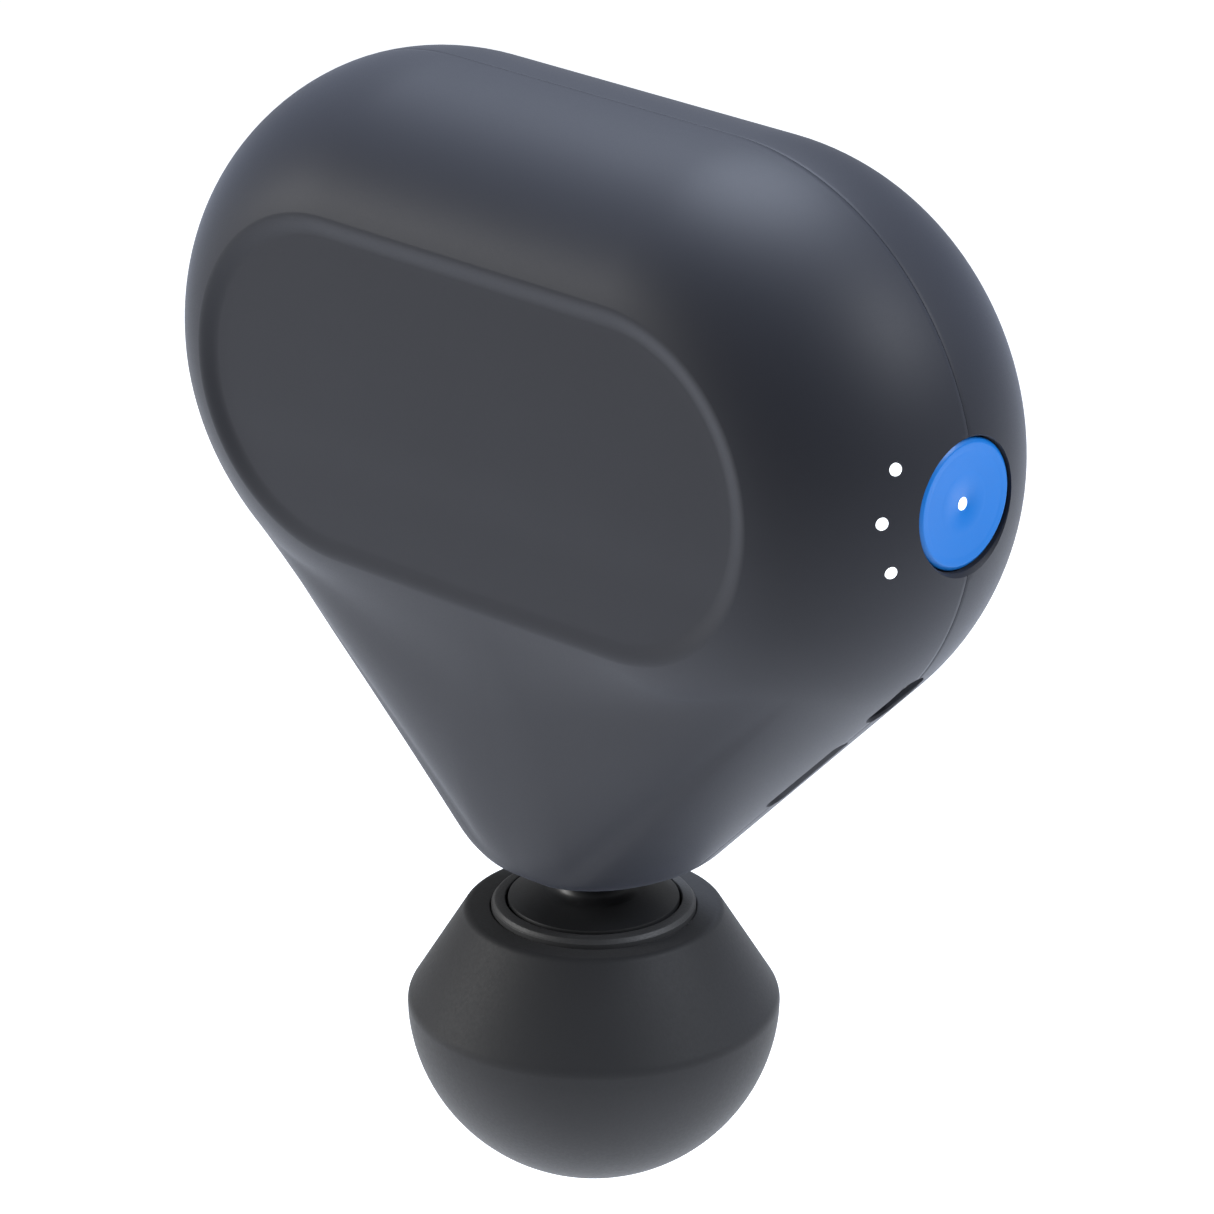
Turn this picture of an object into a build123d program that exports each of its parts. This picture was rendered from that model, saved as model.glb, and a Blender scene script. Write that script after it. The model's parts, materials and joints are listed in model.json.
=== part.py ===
"""A compact percussive massager: a rounded-triangle body with a ball tool under its nose.

Millimetres, +Z up. The origin is the middle of the hand grip: on the tool shaft's axis,
on the seam plane between the two shells. The front faces -Y and the power button faces +X.
"""
import os
from math import atan2, cos, degrees, radians, sin

from build123d import *

os.makedirs("parts", exist_ok=True)

# Body outline at a depth either side of the seam: the hull of two corner circles, which
# shrink along a superellipse, and two nose circles, which follow the table below
corner_x = 20.65
corner_z = 10.72
corner_radius = 33.35
dome_depth = 21.1
corner_roll = 17.0
corner_power = 1.9

# The nose is a neck with a flat end, whose face slopes out to the panel
nose_bottom = -44.07
nose_depths = (0, 4, 8, 11.2, 12, 13, 14.5, 16.5, 18.5, 20.5)
nose_lows = (nose_bottom, nose_bottom, nose_bottom, -43.9, -41.3, -38.8, -32.2, -21.3, -13.6, -11.6)
nose_radii = (10.7, 8.6, 6.4, 5.2, 5.0, 5.4, 6.6, 8.3, 10.1, 11.9)
nose_half_widths = (9.4, 8.5, 7.6, 6.7, 6.4, 6.4, 6.4, 6.6, 7.6, 8.8)
band_end = 3          # the table's row where the band round the seam ends and the face starts

# Shells
wall = 2.2
ridge_depth = nose_depths[-1]     # the raised rim round each face panel
floor_depth = 19.9                # the panel itself
cavity_depth = ridge_depth - wall
ridge_inset = 0.1
ramp_width = 2.7
nose_hole_radius = 5.0
seal_flange_radius = 6.4

# Drive: motor and crank turn about an axis along Y, the tool shaft slides along Z
motor_z = 12.0
crank_radius = 6.0
stroke = 2 * crank_radius
shaft_radius = 3.4
shaft_tip_z = -62.0
running_gap = 0.04
pin_radius = 1.5
roller_radius = 4.0
yoke_half = 3.0
yoke_slot_height = 11.0
yoke_z = motor_z + crank_radius
can_radius = 19.5
can_front = 7.0
can_back = 13.4
plate_front = 13.8
plate_back = 15.8
shelf_top = -8.5
shelf_bottom = -12.0
column_bottom = -39.0
bush_radius = 5.5
bush_length = 19.0

# Tool: a foam ball on a rigid insert
ball_radius = 21.07
ball_z = -61.86
foam_top_z = -51.0
foam_top_radius = 14.8
foam_top_round = 1.1
shoulder_z = -62.6
ring_top_z = -50.0
ring_outer = 11.5
ring_inner = 9.9
hub_top_z = -47.7
hub_radius = 4.1
disc_radius = 9.65
disc_z = -49.7

# Button, lights and ports
button_z = 11.4
button_radius = 7.15
button_face_x = 52.7
button_gap = 0.25
light_radius = 0.7
light_ring = 11.2
light_angles = (-27, 3, 33)
side_angle = -45.95   # direction of the lower side's outward normal
port_x = 43.9
port_z = -13.2
port_length = 9.1
port_width = 3.3
vent_x = 31.5
vent_z = -25.2
vent_length = 14.0
vent_width = 1.8

# Fasteners
post_places = ((-22, 25.5), (22, 25.5), (-20, -6), (20, -6))
post_radius = 3.0
mount_places = ((-23, 4), (23, 4), (-23, 18), (23, 18))

# Battery and board
cell_radius = 8.0
cell_x = -34.9
cell_y = 8.6
cell_low = -6.0
cell_high = 25.8
board_front = 1.8
board_back = 3.4


def rolled(depth, full_depth, roll, power):
    """How far in from the seam the rolled edge is at a depth."""
    return roll * (1 - (1 - (depth / full_depth) ** power) ** (1 / power))


def nose_value(values, depth):
    """A nose measure at a depth, between the rows of its table."""
    row = 1
    while row < len(nose_depths) - 1 and depth > nose_depths[row]:
        row += 1
    share = (depth - nose_depths[row - 1]) / (nose_depths[row] - nose_depths[row - 1])
    return values[row - 1] + min(share, 1.0) * (values[row] - values[row - 1])


def body_section(depth, skin=0.0, inset=0.0):
    """Outline parallel to the seam plane at a signed depth, inside a skin and an inset."""
    reach = abs(depth)
    corner = corner_radius - skin - inset
    corner -= rolled(reach, dome_depth - skin, corner_roll - skin, corner_power)
    outside = reach + skin
    nose = max(nose_value(nose_radii, outside) - skin - inset, 1.0)
    nose_x = nose_value(nose_half_widths, outside)
    nose_z = nose_value(nose_lows, outside) + skin + inset + nose
    with BuildSketch(Plane.XZ.offset(-depth)) as section:
        with BuildLine():
            for side in (-1, 1):
                CenterArc((side * corner_x, corner_z), corner, 0, 360)
                CenterArc((side * nose_x, nose_z), nose, 0, 360)
        make_hull()
    return section.sketch


def mirrored(depths):
    """The depths on both sides of the seam, from front to back."""
    return [-d for d in reversed(depths[1:])] + list(depths)


def loft_body(skin):
    """Loft the body inside a skin: a band round the seam and a face on each side of it."""
    depths = [max(d - skin, 0.0) for d in nose_depths]
    band = [0.0] + [d for d in depths[1 : band_end + 1] if d > 1.0]
    loft([body_section(depth, skin) for depth in mirrored(band)])
    for side in (-1, 1):
        loft([body_section(side * depth, skin) for depth in depths[band_end:]])


def save(solid, name):
    """Label a finished piece and write its file."""
    solid.label = name
    export_step(solid, f"parts/{name}.step")


side_normal = Vector(cos(radians(side_angle)), 0, sin(radians(side_angle)))
side_along = Vector(-side_normal.Z, 0, side_normal.X)


def side_plane(x, z, outward=0.0):
    """Plane on the lower right side at a seam point, its normal pointing out of the body."""
    origin = Vector(x, 0, z) + side_normal * outward
    return Plane(origin=origin, x_dir=side_along, z_dir=side_normal)


# --- the two shells ---------------------------------------------------------
with BuildPart() as envelope:
    loft_body(skin=0.0)

with BuildPart() as cavity:
    loft_body(skin=wall)

# What is taken out of both shells: panels, button hole, light holes, port, vent and nose hole
with BuildPart() as panel_recess:
    for side in (-1, 1):
        rim = body_section(side * ridge_depth, inset=ridge_inset)
        floor = body_section(side * floor_depth, inset=ramp_width)
        loft([floor, rim])

with BuildPart() as side_openings:
    with BuildSketch(Plane.YZ.offset(corner_x)):
        with Locations((0, button_z)):
            Circle(button_radius + button_gap)
    extrude(amount=corner_radius + 1)
    with BuildSketch(side_plane(port_x, port_z, -6)):
        SlotOverall(port_length, port_width)
    extrude(amount=12)
    with BuildSketch(side_plane(vent_x, vent_z, -6)):
        SlotOverall(vent_length, vent_width)
    extrude(amount=12)
    with BuildSketch(Plane.XY.offset(nose_bottom - 1)):
        Circle(nose_hole_radius)
    extrude(amount=10)

light_places = [
    (-light_ring * cos(radians(a)), button_z + light_ring * sin(radians(a))) for a in light_angles
]
with BuildPart() as light_bores:
    with BuildSketch(Plane.YZ.offset(44.6)):
        with Locations(light_places):
            Circle(light_radius)
    extrude(amount=15)

# Screw posts: front ones take the thread, rear ones hold the screw heads in deep sinks
with BuildPart() as front_posts:
    with BuildSketch(Plane.XZ.offset(0.05)):
        with Locations(post_places):
            Circle(post_radius)
            Circle(1.0, mode=Mode.SUBTRACT)
    extrude(amount=cavity_depth + 0.2)
    with BuildSketch(Plane.XZ.offset(cavity_depth)):
        with Locations(post_places):
            Circle(post_radius)
    extrude(amount=0.25)

with BuildPart() as rear_posts:
    with BuildSketch(Plane.XZ.offset(-0.05)):
        with Locations(post_places):
            Circle(post_radius)
    extrude(amount=-cavity_depth)
    with BuildSketch(Plane.XZ.offset(-plate_back - 1)):
        with Locations(mount_places):
            Circle(3.2)
    extrude(amount=-(floor_depth - plate_back - 1.4))

with BuildPart() as rear_bores:
    with BuildSketch(Plane.XZ):
        with Locations(post_places):
            Circle(1.4)
    extrude(amount=-25)
    with BuildSketch(Plane.XZ.offset(-12)):
        with Locations(post_places):
            Circle(2.4)
    extrude(amount=-12)
    with BuildSketch(Plane.XZ.offset(-plate_back)):
        with Locations(mount_places):
            Circle(1.0)
    extrude(amount=-3.3)

with BuildPart() as front_shell:
    add(envelope.part)
    add(cavity.part, mode=Mode.SUBTRACT)
    split(bisect_by=Plane.XZ, keep=Keep.TOP)
    add(front_posts.part)
    add(panel_recess.part, mode=Mode.SUBTRACT)
    add(side_openings.part, mode=Mode.SUBTRACT)
    add(light_bores.part, mode=Mode.SUBTRACT)
save(front_shell.part, "front_shell")

with BuildPart() as rear_shell:
    add(envelope.part)
    add(cavity.part, mode=Mode.SUBTRACT)
    split(bisect_by=Plane.XZ, keep=Keep.BOTTOM)
    add(rear_posts.part)
    add(panel_recess.part, mode=Mode.SUBTRACT)
    add(side_openings.part, mode=Mode.SUBTRACT)
    add(rear_bores.part, mode=Mode.SUBTRACT)
save(rear_shell.part, "rear_shell")

with BuildPart() as housing_screws:
    with BuildSketch(Plane.XZ.offset(-12)):
        with Locations(post_places):
            Circle(2.2)
    extrude(amount=-2)
    with BuildSketch(Plane.XZ.offset(-12)):
        with Locations(post_places):
            Circle(0.98)
    extrude(amount=20)
save(housing_screws.part, "housing_screws")

with BuildPart() as screw_covers:
    with BuildSketch(Plane.XZ.offset(-floor_depth)):
        with Locations(post_places):
            Circle(2.38)
    extrude(amount=1.5)
save(screw_covers.part, "screw_covers")

with BuildPart() as light_pipes:
    with BuildSketch(Plane.YZ.offset(44.6)):
        with Locations(light_places):
            Circle(light_radius - 0.02)
    extrude(amount=15)
    add(envelope.part, mode=Mode.INTERSECT)
save(light_pipes.part, "light_pipes")

with BuildPart() as nose_seal:
    with BuildSketch(Plane.XY.offset(nose_bottom + 0.1)):
        Circle(nose_hole_radius - 0.05)
    extrude(amount=wall)
    with BuildSketch(Plane.XY.offset(nose_bottom + wall + 0.05)):
        Circle(seal_flange_radius)
    extrude(amount=0.8)
    with BuildSketch(Plane.XY.offset(nose_bottom)):
        Circle(shaft_radius + 0.35)
    extrude(amount=5, mode=Mode.SUBTRACT)
save(nose_seal.part, "nose_seal")

# --- drive frame and shaft bush ---------------------------------------------
with BuildPart() as drive_frame:
    with BuildSketch(Plane.XZ.offset(-plate_back)):
        with Locations((0, motor_z)):
            Circle(17.5)
        with Locations((0, 11)):
            RectangleRounded(53, 21, 5)
        with Locations((0, (motor_z + shelf_bottom) / 2 - 3)):
            Rectangle(18, motor_z - shelf_bottom - 6)
        with Locations((0, motor_z)):
            Circle(2.2, mode=Mode.SUBTRACT)
        with Locations(mount_places):
            Circle(1.3, mode=Mode.SUBTRACT)
        with Locations((0, motor_z)):
            with PolarLocations(6, 3, 90):
                Circle(0.9, mode=Mode.SUBTRACT)
    extrude(amount=plate_back - plate_front)
    with BuildSketch(Plane.XY.offset(shelf_bottom)):
        with Locations((0, (plate_back - 7) / 2)):
            RectangleRounded(18, plate_back + 7, 2)
    extrude(amount=shelf_top - shelf_bottom)
    with BuildSketch(Plane.XY.offset(column_bottom)):
        Circle(bush_radius + 2.4)
    extrude(amount=shelf_bottom - column_bottom)
    with BuildSketch(Plane.XY.offset(column_bottom)):
        Circle(bush_radius)
    extrude(amount=bush_length, mode=Mode.SUBTRACT)
    with BuildSketch(Plane.XY.offset(column_bottom)):
        Circle(4.2)
    extrude(amount=shelf_top - column_bottom, mode=Mode.SUBTRACT)
save(drive_frame.part, "drive_frame")

with BuildPart() as shaft_bush:
    with BuildSketch(Plane.XY.offset(column_bottom)):
        Circle(bush_radius)
        Circle(shaft_radius + running_gap, mode=Mode.SUBTRACT)
    extrude(amount=bush_length)
save(shaft_bush.part, "shaft_bush")

with BuildPart() as end_buffer:
    with BuildSketch(Plane.XY.offset(shelf_top)):
        Circle(7.0)
        Circle(4.4, mode=Mode.SUBTRACT)
    extrude(amount=0.9)
save(end_buffer.part, "end_buffer")

with BuildPart() as frame_screws:
    with BuildSketch(Plane.XZ.offset(-plate_front)):
        with Locations(mount_places):
            Circle(2.2)
    extrude(amount=1.5)
    with BuildSketch(Plane.XZ.offset(-plate_front)):
        with Locations(mount_places):
            Circle(0.98)
    extrude(amount=-5.2)
save(frame_screws.part, "frame_screws")

with BuildPart() as frame_buffers:
    with BuildSketch(Plane.XZ.offset(-plate_back)):
        with Locations(mount_places):
            Circle(3.0)
            Circle(1.3, mode=Mode.SUBTRACT)
    extrude(amount=-1)
save(frame_buffers.part, "frame_buffers")

# --- motor ------------------------------------------------------------------
magnet_inner = 16.8
magnet_outer = 18.3
stator_outer = magnet_inner - 0.4
tube_radius = 4.5
bearing_radius = 3.5
motor_axis = Plane(origin=(0, 0, motor_z), x_dir=(1, 0, 0), z_dir=(0, -1, 0))


def motor_plane(depth):
    """Plane across the motor's axis at a depth along Y."""
    return motor_axis.offset(-depth)


with BuildPart() as motor_base:
    with BuildSketch(motor_plane(plate_front)):
        Circle(7.6)
        Circle(bearing_radius, mode=Mode.SUBTRACT)
        with PolarLocations(6, 3, 90):
            Circle(0.7, mode=Mode.SUBTRACT)
    extrude(amount=0.8)
    with BuildSketch(motor_plane(plate_front - 0.8)):
        Circle(tube_radius)
        Circle(bearing_radius, mode=Mode.SUBTRACT)
    extrude(amount=4.4)
save(motor_base.part, "motor_base")

with BuildPart() as motor_screws:
    with BuildSketch(motor_plane(plate_back)):
        with PolarLocations(6, 3, 90):
            Circle(1.7)
    extrude(amount=-1)
    with BuildSketch(motor_plane(plate_back)):
        with PolarLocations(6, 3, 90):
            Circle(0.68)
    extrude(amount=2.8)
save(motor_screws.part, "motor_screws")

with BuildPart() as motor_bearings:
    for back in (plate_front, plate_front - 2.7):
        with BuildSketch(motor_plane(back)):
            Circle(bearing_radius)
            Circle(pin_radius + 0.02, mode=Mode.SUBTRACT)
        extrude(amount=2.4)
save(motor_bearings.part, "motor_bearings")

with BuildPart() as stator_core:
    with BuildSketch(motor_plane(12.8)):
        Circle(7.2)
        with PolarLocations(10.6, 12):
            Rectangle(8.8, 2)
        with BuildSketch(mode=Mode.PRIVATE) as shoes:
            Circle(stator_outer)
            Circle(14.6, mode=Mode.SUBTRACT)
            with PolarLocations(15.4, 12, 15):
                Rectangle(4, 1.6, mode=Mode.SUBTRACT)
        add(shoes.sketch)
        Circle(tube_radius, mode=Mode.SUBTRACT)
    extrude(amount=3.8)
save(stator_core.part, "stator_core")

with BuildPart() as stator_windings:
    with BuildSketch(motor_plane(13.1)):
        with PolarLocations(11, 12):
            RectangleRounded(6.4, 4.0, 0.8)
    extrude(amount=4.4)
    add(stator_core.part, mode=Mode.SUBTRACT)
save(stator_windings.part, "stator_windings")

with BuildPart() as rotor_can:
    with BuildSketch(motor_plane(can_back)):
        Circle(can_radius)
        Circle(magnet_outer, mode=Mode.SUBTRACT)
    extrude(amount=can_back - can_front)
    with BuildSketch(motor_plane(can_front + 1.2)):
        Circle(can_radius)
        Circle(pin_radius, mode=Mode.SUBTRACT)
        with PolarLocations(11.5, 6):
            Circle(2.6, mode=Mode.SUBTRACT)
    extrude(amount=1.2)
save(rotor_can.part, "rotor_can")

with BuildPart() as rotor_magnets:
    with BuildSketch(motor_plane(13.2)):
        Circle(magnet_outer)
        Circle(magnet_inner, mode=Mode.SUBTRACT)
        with PolarLocations(17.5, 14):
            Rectangle(4, 0.5, mode=Mode.SUBTRACT)
    extrude(amount=4.6)
save(rotor_magnets.part, "rotor_magnets")

# --- crank ------------------------------------------------------------------
crank_front = 3.8
crank_back = 6.6

with BuildPart() as motor_shaft:
    with BuildSketch(motor_plane(15.2)):
        Circle(pin_radius)
    extrude(amount=15.2 - crank_front)
save(motor_shaft.part, "motor_shaft")

with BuildPart() as crank_disc:
    with BuildSketch(motor_plane(crank_back)):
        Circle(15)
        with Locations((0, 11)):
            Rectangle(40, 22, mode=Mode.SUBTRACT)
        Circle(9.5)
        Circle(pin_radius, mode=Mode.SUBTRACT)
        with Locations((0, crank_radius)):
            Circle(pin_radius, mode=Mode.SUBTRACT)
    extrude(amount=crank_back - crank_front)
save(crank_disc.part, "crank_disc")

with BuildPart() as crank_pin:
    with BuildSketch(motor_plane(crank_back)):
        with Locations((0, crank_radius)):
            Circle(pin_radius)
    extrude(amount=crank_back + 4.4)
save(crank_pin.part, "crank_pin")

with BuildPart() as crank_roller:
    with BuildSketch(motor_plane(2.8)):
        with Locations((0, crank_radius)):
            Circle(roller_radius)
            Circle(pin_radius, mode=Mode.SUBTRACT)
    extrude(amount=5.6)
save(crank_roller.part, "crank_roller")

with BuildPart() as pin_clip:
    with BuildSketch(motor_plane(-3.4)):
        with Locations((0, crank_radius)):
            Circle(2.7)
            Circle(pin_radius, mode=Mode.SUBTRACT)
            with Locations((0, 2)):
                Rectangle(1.2, 2.4, mode=Mode.SUBTRACT)
    extrude(amount=0.7)
save(pin_clip.part, "pin_clip")

# --- yoke and tool shaft ----------------------------------------------------
slot_length = stroke + yoke_slot_height + 0.6
yoke_bar = 3.2
yoke_bottom = yoke_z - yoke_slot_height / 2 - yoke_bar

with BuildPart() as yoke:
    with BuildSketch(Plane.XZ.offset(yoke_half)):
        with Locations((0, yoke_z)):
            SlotOverall(slot_length + 2 * yoke_bar, yoke_slot_height + 2 * yoke_bar)
            SlotOverall(slot_length, yoke_slot_height, mode=Mode.SUBTRACT)
    extrude(amount=-2 * yoke_half)
    with BuildSketch(Plane.XY.offset(yoke_bottom - 4.5)):
        Circle(5.2)
    extrude(amount=6)
    with BuildSketch(Plane.XZ.offset(6)):
        with Locations((0, yoke_z)):
            SlotOverall(slot_length, yoke_slot_height)
    extrude(amount=-12, mode=Mode.SUBTRACT)
    with BuildSketch(Plane.XZ.offset(-yoke_half)):
        with Locations((0, yoke_z)):
            Rectangle(14, 30)
    extrude(amount=-5, mode=Mode.SUBTRACT)
    with BuildSketch(Plane.XY.offset(yoke_bottom - 5)):
        Circle(shaft_radius)
    extrude(amount=6.4, mode=Mode.SUBTRACT)
    with BuildSketch(Plane.XZ.offset(6)):
        with Locations((0, yoke_bottom - 2)):
            Circle(0.9)
    extrude(amount=-12, mode=Mode.SUBTRACT)
save(yoke.part, "yoke")

groove_z = shaft_tip_z + 4

with BuildPart() as output_shaft:
    with BuildSketch(Plane.XY.offset(shaft_tip_z)):
        Circle(shaft_radius)
    extrude(amount=yoke_bottom + 1.4 - shaft_tip_z)
    chamfer(output_shaft.faces().sort_by(Axis.Z)[0].edges(), 0.6)
    with BuildSketch(Plane.XY.offset(groove_z)):
        Circle(shaft_radius + 1)
        Circle(shaft_radius - 0.6, mode=Mode.SUBTRACT)
    extrude(amount=1.6, mode=Mode.SUBTRACT)
    with BuildSketch(Plane.XZ.offset(6)):
        with Locations((0, yoke_bottom - 2)):
            Circle(0.9)
    extrude(amount=-12, mode=Mode.SUBTRACT)
save(output_shaft.part, "output_shaft")

with BuildPart() as shaft_pin:
    with BuildSketch(Plane.XZ.offset(4.2)):
        with Locations((0, yoke_bottom - 2)):
            Circle(0.9)
    extrude(amount=-7.2)
save(shaft_pin.part, "shaft_pin")

with BuildPart() as detent_ring:
    with BuildSketch(Plane.XY.offset(groove_z + 0.1)):
        Circle(shaft_radius)
        Circle(shaft_radius - 0.6, mode=Mode.SUBTRACT)
    extrude(amount=1.4)
save(detent_ring.part, "detent_ring")

# --- foam ball tool ---------------------------------------------------------
core_radius = 8.6
core_top = -52.6
core_bottom = -66.0
socket_radius = 5.3
socket_top_z = hub_top_z - 2.8
ring_bottom = -53.6
equator_dip = ball_z - shoulder_z
shoulder_round = 2.5
shoulder_radius = (ball_radius**2 - equator_dip**2) ** 0.5

with BuildPart() as socket_sleeve:
    with BuildSketch(Plane.XY.offset(-64)):
        Circle(socket_radius)
    extrude(amount=socket_top_z + 64)
    with BuildSketch(Plane.XY.offset(shaft_tip_z - 0.3)):
        Circle(shaft_radius + running_gap)
    extrude(amount=20, mode=Mode.SUBTRACT)
save(socket_sleeve.part, "socket_sleeve")

with BuildPart() as insert_cone:
    with BuildSketch(Plane.XZ):
        with BuildLine():
            Polyline(
                (hub_radius + 1.5, hub_top_z - 1.15),
                (disc_radius - 0.25, disc_z),
                (disc_radius, disc_z - 0.25),
                (disc_radius, core_top),
                (socket_radius, core_top),
                (socket_radius, socket_top_z),
                (shaft_radius + 0.15, socket_top_z),
                (shaft_radius + 0.15, hub_top_z),
                (hub_radius, hub_top_z),
            )
            ThreePointArc(
                (hub_radius, hub_top_z),
                (hub_radius + 0.5, hub_top_z - 0.75),
                (hub_radius + 1.5, hub_top_z - 1.15),
            )
        make_face()
    revolve(axis=Axis.Z)
save(insert_cone.part, "insert_cone")

with BuildPart() as insert_ring:
    with BuildSketch(Plane.XY.offset(ring_bottom)):
        Circle(ring_outer)
        Circle(ring_inner, mode=Mode.SUBTRACT)
    extrude(amount=ring_top_z - ring_bottom)
    chamfer(insert_ring.faces().sort_by(Axis.Z)[-1].edges(), 0.25)
save(insert_ring.part, "insert_ring")

with BuildPart() as insert_core:
    with BuildSketch(Plane.XY.offset(core_bottom)):
        Circle(core_radius)
    extrude(amount=core_top - core_bottom)
    with BuildSketch(Plane.XY.offset(core_bottom + 2)):
        Circle(socket_radius)
    extrude(amount=20, mode=Mode.SUBTRACT)
    for z in (-63, -60, -57):
        with BuildSketch(Plane.XY.offset(z)):
            Circle(core_radius + 1)
            Circle(core_radius - 0.8, mode=Mode.SUBTRACT)
        extrude(amount=1.2, mode=Mode.SUBTRACT)
save(insert_core.part, "insert_core")

with BuildPart() as foam_ball:
    with BuildSketch(Plane.XZ) as ball_profile:
        with BuildLine():
            Polyline(
                (0, ball_z - ball_radius),
                (0, foam_top_z),
                (foam_top_radius, foam_top_z),
                (shoulder_radius, shoulder_z),
            )
            CenterArc((0, ball_z), ball_radius, -90, 90 - degrees(atan2(equator_dip, shoulder_radius)))
        make_face()
        fillet(ball_profile.vertices().sort_by(Axis.X)[-1], shoulder_round)
        fillet(ball_profile.vertices().group_by(Axis.Y)[-1].sort_by(Axis.X)[-1], foam_top_round)
    revolve(axis=Axis.Z)
    with BuildSketch(Plane.XY.offset(core_bottom)):
        Circle(core_radius)
    extrude(amount=core_top - core_bottom, mode=Mode.SUBTRACT)
    with BuildSketch(Plane.XY.offset(ring_bottom)):
        Circle(ring_outer)
    extrude(amount=foam_top_z - ring_bottom + 1, mode=Mode.SUBTRACT)
save(foam_ball.part, "foam_ball")

# --- power button and switch ------------------------------------------------
flange_x = 48.6
flange_thickness = 1.0
stem_tip_x = 47.2
switch_back_x = 41.0
switch_front_x = 46.0
switch_half = 3.0

with BuildPart() as button_cap:
    with BuildSketch(Plane.YZ.offset(flange_x)):
        with Locations((0, button_z)):
            Circle(button_radius + 1.3)
    extrude(amount=flange_thickness)
    with BuildSketch(Plane.YZ.offset(flange_x)):
        with Locations((0, button_z)):
            Circle(button_radius)
    extrude(amount=button_face_x - flange_x)
    chamfer(button_cap.faces().sort_by(Axis.X)[-1].edges(), 0.45)
    with BuildSketch(Plane.YZ.offset(stem_tip_x)):
        with Locations((0, button_z)):
            Circle(2.2)
    extrude(amount=flange_x - stem_tip_x)
    with BuildSketch(Plane.YZ.offset(stem_tip_x)):
        with Locations((0, button_z)):
            Circle(light_radius)
    extrude(amount=10, mode=Mode.SUBTRACT)
save(button_cap.part, "button_cap")

with BuildPart() as button_light:
    with BuildSketch(Plane.YZ.offset(stem_tip_x + 1)):
        with Locations((0, button_z)):
            Circle(light_radius)
    extrude(amount=button_face_x - stem_tip_x - 1)
save(button_light.part, "button_light")

with BuildPart() as switch_plunger:
    with BuildSketch(Plane.YZ.offset(switch_front_x - 1.2)):
        with Locations((0, button_z)):
            Circle(1.2)
    extrude(amount=stem_tip_x - switch_front_x + 1.2)
save(switch_plunger.part, "switch_plunger")

with BuildPart() as switch_body:
    with BuildSketch(Plane.YZ.offset(switch_back_x)):
        with Locations((0, button_z)):
            Rectangle(2 * board_front, 2 * switch_half)
    extrude(amount=switch_front_x - switch_back_x)
    with BuildSketch(Plane.YZ.offset(switch_front_x - 2.3)):
        with Locations((0, button_z)):
            Circle(1.25)
    extrude(amount=4, mode=Mode.SUBTRACT)
save(switch_body.part, "switch_body")

# --- board, ports and battery -----------------------------------------------
with BuildPart() as main_board:
    with BuildSketch(Plane.XZ.offset(-board_front)) as board_outline:
        add(body_section(board_front, skin=wall, inset=1.3))
        with Locations((36.6, 11)):
            Rectangle(19, 38, mode=Mode.INTERSECT)
    extrude(amount=board_front - board_back)
save(main_board.part, "main_board")

with BuildPart() as board_chips:
    with BuildSketch(Plane.XZ.offset(-board_back)):
        with Locations((34, 20)):
            Rectangle(7, 7)
        with Locations((38.5, 4), (31, 4)):
            Rectangle(4.4, 4.8)
        with Locations((32, -3)):
            Circle(2.6)
        with GridLocations(2.6, 0, 3, 1):
            with Locations((40, 13)):
                Rectangle(1.2, 2)
    extrude(amount=-1.4)
save(board_chips.part, "board_chips")

with BuildPart() as light_board:
    with BuildSketch(Plane.YZ.offset(43.6)):
        with Locations((-10.6, button_z)):
            RectangleRounded(4.6, 15, 1)
    extrude(amount=1)
save(light_board.part, "light_board")

with BuildPart() as charge_port:
    with BuildSketch(side_plane(port_x, port_z, -8.2)):
        SlotOverall(8.94, 3.1)
    extrude(amount=7.4)
    with BuildSketch(side_plane(port_x, port_z, -7.4)):
        SlotOverall(8.3, 2.5)
    extrude(amount=8, mode=Mode.SUBTRACT)
save(charge_port.part, "charge_port")

with BuildPart() as port_tongue:
    with BuildSketch(side_plane(port_x, port_z, -7.4)):
        Rectangle(6.7, 0.7)
    extrude(amount=5.4)
save(port_tongue.part, "port_tongue")

with BuildPart() as vent_grille:
    with BuildSketch(side_plane(vent_x, vent_z, -2.0)):
        SlotOverall(vent_length - 0.1, vent_width - 0.1)
        with GridLocations(1.5, 0, 8, 1):
            Circle(0.42, mode=Mode.SUBTRACT)
    extrude(amount=0.9)
save(vent_grille.part, "vent_grille")

with BuildPart() as battery_cells:
    with BuildSketch(Plane.XY.offset(cell_low)):
        with Locations((cell_x, -cell_y), (cell_x, cell_y)):
            Circle(cell_radius)
    extrude(amount=cell_high - cell_low)
save(battery_cells.part, "battery_cells")

with BuildPart() as battery_holder:
    for low in (cell_low - 1.1, cell_high):
        with BuildSketch(Plane.XY.offset(low)):
            with Locations((cell_x, 0)):
                SlotOverall(2 * cell_y + 10, 10, rotation=90)
        extrude(amount=1.1)
    with BuildSketch(Plane.XY.offset(cell_low)):
        with Locations((cell_x, 0)):
            Rectangle(10, 0.8)
    extrude(amount=cell_high - cell_low)
save(battery_holder.part, "battery_holder")

lead_radius = 0.7
lead_y = (board_front + board_back) / 2
with BuildPart() as battery_leads:
    for start, end, top in ((-37.5, 34.5, 36.0), (-34.0, 31.0, 33.4)):
        with BuildLine():
            route = FilletPolyline(
                (start, lead_y, cell_high + 1.1), (start, lead_y, top), (end, lead_y, top), (end, lead_y, 30),
                radius=3,
            )
        with BuildSketch(Plane(origin=route @ 0, z_dir=route % 0)):
            Circle(lead_radius)
        sweep(path=route)
save(battery_leads.part, "battery_leads")
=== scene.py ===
"""Looks of a compact percussive massager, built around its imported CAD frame.

Metres, +Z up, in the CAD's frame: the front faces -Y, the power button faces +X and the
foam ball hangs under the nose. Body sizes are written in millimetres and scaled by MM.
"""
import json
import math

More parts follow.
